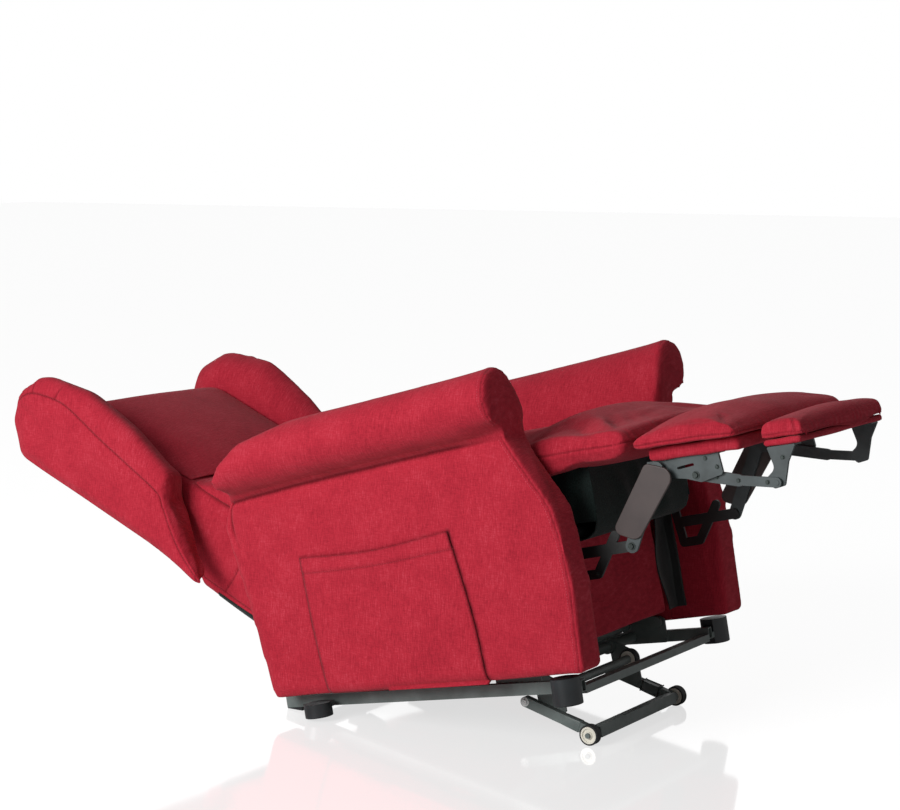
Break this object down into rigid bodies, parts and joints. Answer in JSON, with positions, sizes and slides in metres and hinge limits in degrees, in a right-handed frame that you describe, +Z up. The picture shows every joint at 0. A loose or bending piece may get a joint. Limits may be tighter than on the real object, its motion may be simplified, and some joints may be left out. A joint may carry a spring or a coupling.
{
  "type": "lift recliner chair",
  "caption": "Wing-back power lift recliner with scroll arms, a folding footrest, a lifting base with a swing-down roller frame and a side pocket.",
  "frame": {"origin": "on the floor under the middle of the overall box, with the base tilted back, the back reclined and the footrest out", "axes": "+Z up, +X across the width to the sitter's left, -Y the way the sitter faces"},
  "size_m": [0.8, 1.7899, 0.7358],
  "materials": {
    "foot_plastic": "black satin",
    "base_paint": "dark green-grey powder coat",
    "drive_plastic": "black",
    "bright_steel": "plain",
    "red_fabric": "red woven melange",
    "frame_wood": "plain plywood",
    "link_paint": "dark grey powder coat",
    "dark_fabric": "dark cloth",
    "cover_plastic": "taupe",
    "roller_rubber": "black",
    "hub_plastic": "cream"
  },
  "bodies": {
    "base": {"feet": "foot_plastic", "base_rails": "base_paint", "front_cross_tube": "base_paint", "cross_tubes": "base_paint", "lift_brackets": "base_paint", "rear_glides": "foot_plastic", "power_box": "drive_plastic", "mains_inlet": "foot_plastic"},
    "roller_frame": {"roller_arms": "base_paint", "roller_axle_tube": "base_paint", "roller_rear_tube": "base_paint"},
    "rear_lift": {"lift_links": "base_paint"},
    "front_lift": {"front_links": "base_paint"},
    "lift_housing": {"lift_drive_housing": "drive_plastic"},
    "lift_rod": {"lift_drive_rod": "bright_steel"},
    "chair": {"chair_plates": "base_paint", "chair_cross_tubes": "base_paint", "arm_left": "red_fabric", "arm_right": "red_fabric", "arm_frames": "frame_wood", "side_pocket": "red_fabric", "slide_rails": "link_paint"},
    "carriage": {"slide_runners": "link_paint", "carriage_plates": "link_paint", "seat_frame": "frame_wood", "seat_webbing": "dark_fabric", "seat_cushion": "red_fabric", "front_panel": "red_fabric", "panel_stiles": "frame_wood", "apron": "dark_fabric", "gussets": "dark_fabric"},
    "backrest": {"back_frame": "frame_wood", "back_brackets": "link_paint", "back_core": "red_fabric", "lumbar_cushion": "red_fabric", "upper_cushion": "red_fabric", "wing_left": "red_fabric", "wing_right": "red_fabric"},
    "recline_housing": {"recline_drive_housing": "drive_plastic"},
    "recline_rod": {"recline_drive_rod": "bright_steel"},
    "footrest_housing": {"footrest_drive_housing": "drive_plastic"},
    "footrest_rod": {"footrest_drive_rod": "bright_steel"},
    "swing": {"swing_brackets": "link_paint"},
    "carry": {"carry_links": "link_paint", "link_covers": "cover_plastic"},
    "calf": {"calf_brackets": "link_paint", "calf_board": "red_fabric", "calf_pad": "red_fabric"},
    "flipper_arm": {"flipper_arms": "link_paint"},
    "flipper": {"flipper_brackets": "link_paint", "flipper_board": "red_fabric", "flipper_pad": "red_fabric"},
    "roller_front_left": {"roller_tyre_front_left": "roller_rubber", "roller_hub_front_left": "hub_plastic"},
    "roller_front_right": {"roller_tyre_front_right": "roller_rubber", "roller_hub_front_right": "hub_plastic"},
    "roller_rear_left": {"roller_tyre_rear_left": "roller_rubber", "roller_hub_rear_left": "hub_plastic"},
    "roller_rear_right": {"roller_tyre_rear_right": "roller_rubber", "roller_hub_rear_right": "hub_plastic"}
  },
  "joints": [
    {"name": "roller_frame_fold", "type": "hinge", "parent": "base", "child": "roller_frame", "pos_m": [0, -0.32038, 0.11043], "axis": [1, 0, 0], "range_deg": [0, 146]},
    {"name": "roller_front_left_spin", "type": "hinge", "parent": "roller_frame", "child": "roller_front_left", "pos_m": [0, -0.46288, 0.02036], "axis": [1, 0, 0], "continuous": true},
    {"name": "roller_front_right_spin", "type": "hinge", "parent": "roller_frame", "child": "roller_front_right", "pos_m": [0, -0.46288, 0.02036], "axis": [1, 0, 0], "continuous": true},
    {"name": "roller_rear_left_spin", "type": "hinge", "parent": "roller_frame", "child": "roller_rear_left", "pos_m": [0, -0.37424, 0.09383], "axis": [1, 0, 0], "continuous": true},
    {"name": "roller_rear_right_spin", "type": "hinge", "parent": "roller_frame", "child": "roller_rear_right", "pos_m": [0, -0.37424, 0.09383], "axis": [1, 0, 0], "continuous": true},
    {"name": "lift", "type": "hinge", "parent": "base", "child": "rear_lift", "pos_m": [0, -0.30963, 0.13591], "axis": [1, 0, 0], "range_deg": [0, 46]},
    {"name": "chair_tilt", "type": "hinge", "parent": "rear_lift", "child": "chair", "pos_m": [0, 0.10314, 0.11557], "axis": [1, 0, 0], "range_deg": [-18, 0]},
    {"name": "front_lift_turn", "type": "hinge", "parent": "base", "child": "front_lift", "pos_m": [0, -0.38385, 0.15252], "axis": [1, 0, 0], "range_deg": [0, 58.54]},
    {"name": "lift_housing_turn", "type": "hinge", "parent": "base", "child": "lift_housing", "pos_m": [0, 0.13117, 0.05032], "axis": [1, 0, 0], "range_deg": [-2.18, 0]},
    {"name": "lift_rod_slide", "type": "slide", "parent": "lift_housing", "child": "lift_rod", "axis": [0, -0.9552, 0.2959], "range_m": [0, 0.04892]},
    {"name": "seat_slide", "type": "slide", "parent": "chair", "child": "carriage", "axis": [0, 0.9796, -0.2011], "range_m": [0, 0.08]},
    {"name": "back_recline", "type": "hinge", "parent": "carriage", "child": "backrest", "pos_m": [0, -0.02931, 0.29588], "axis": [1, 0, 0], "range_deg": [0, 42]},
    {"name": "recline_housing_turn", "type": "hinge", "parent": "carriage", "child": "recline_housing", "pos_m": [0, -0.3453, 0.24845], "axis": [1, 0, 0], "range_deg": [0, 1.42]},
    {"name": "recline_rod_slide", "type": "slide", "parent": "recline_housing", "child": "recline_rod", "axis": [0, 0.9993, -0.0373], "range_m": [0, 0.04224]},
    {"name": "footrest_swing", "type": "hinge", "parent": "carriage", "child": "swing", "pos_m": [0, -0.4347, 0.40972], "axis": [1, 0, 0], "range_deg": [0, 28.3]},
    {"name": "carry_turn", "type": "hinge", "parent": "swing", "child": "carry", "pos_m": [0, -0.57104, 0.40198], "axis": [1, 0, 0], "range_deg": [-52.69, 0]},
    {"name": "calf_turn", "type": "hinge", "parent": "carry", "child": "calf", "pos_m": [0, -0.6203, 0.54991], "axis": [1, 0, 0], "range_deg": [0, 114.39]},
    {"name": "flipper_arm_turn", "type": "hinge", "parent": "calf", "child": "flipper_arm", "pos_m": [0, -0.69428, 0.54263], "axis": [1, 0, 0], "range_deg": [0, 39.99]},
    {"name": "flipper_turn", "type": "hinge", "parent": "flipper_arm", "child": "flipper", "pos_m": [0, -0.84981, 0.54087], "axis": [1, 0, 0], "range_deg": [-39.99, 0]},
    {"name": "footrest_housing_turn", "type": "hinge", "parent": "carriage", "child": "footrest_housing", "pos_m": [0, -0.06723, 0.35981], "axis": [1, 0, 0], "range_deg": [0, 1.41]},
    {"name": "footrest_rod_slide", "type": "slide", "parent": "footrest_housing", "child": "footrest_rod", "axis": [0, -0.9563, 0.2924], "range_m": [0, 0.02776]}
  ],
  "couplings": [
    {"joint": "chair_tilt", "follows": "lift", "ratio": -0.3913},
    {"joint": "front_lift_turn", "follows": "lift", "ratio": 1.2726},
    {"joint": "lift_housing_turn", "follows": "lift", "ratio": -0.047414},
    {"joint": "lift_rod_slide", "follows": "lift", "m_per_rad": 0.060935},
    {"joint": "seat_slide", "follows": "back_recline", "m_per_rad": 0.10913},
    {"joint": "recline_housing_turn", "follows": "back_recline", "ratio": 0.033877},
    {"joint": "recline_rod_slide", "follows": "back_recline", "m_per_rad": 0.057626},
    {"joint": "carry_turn", "follows": "footrest_swing", "ratio": -1.862},
    {"joint": "calf_turn", "follows": "footrest_swing", "ratio": 4.042},
    {"joint": "flipper_arm_turn", "follows": "footrest_swing", "ratio": 1.413},
    {"joint": "flipper_turn", "follows": "footrest_swing", "ratio": -1.413},
    {"joint": "footrest_housing_turn", "follows": "footrest_swing", "ratio": 0.049773},
    {"joint": "footrest_rod_slide", "follows": "footrest_swing", "m_per_rad": 0.056212}
  ]
}
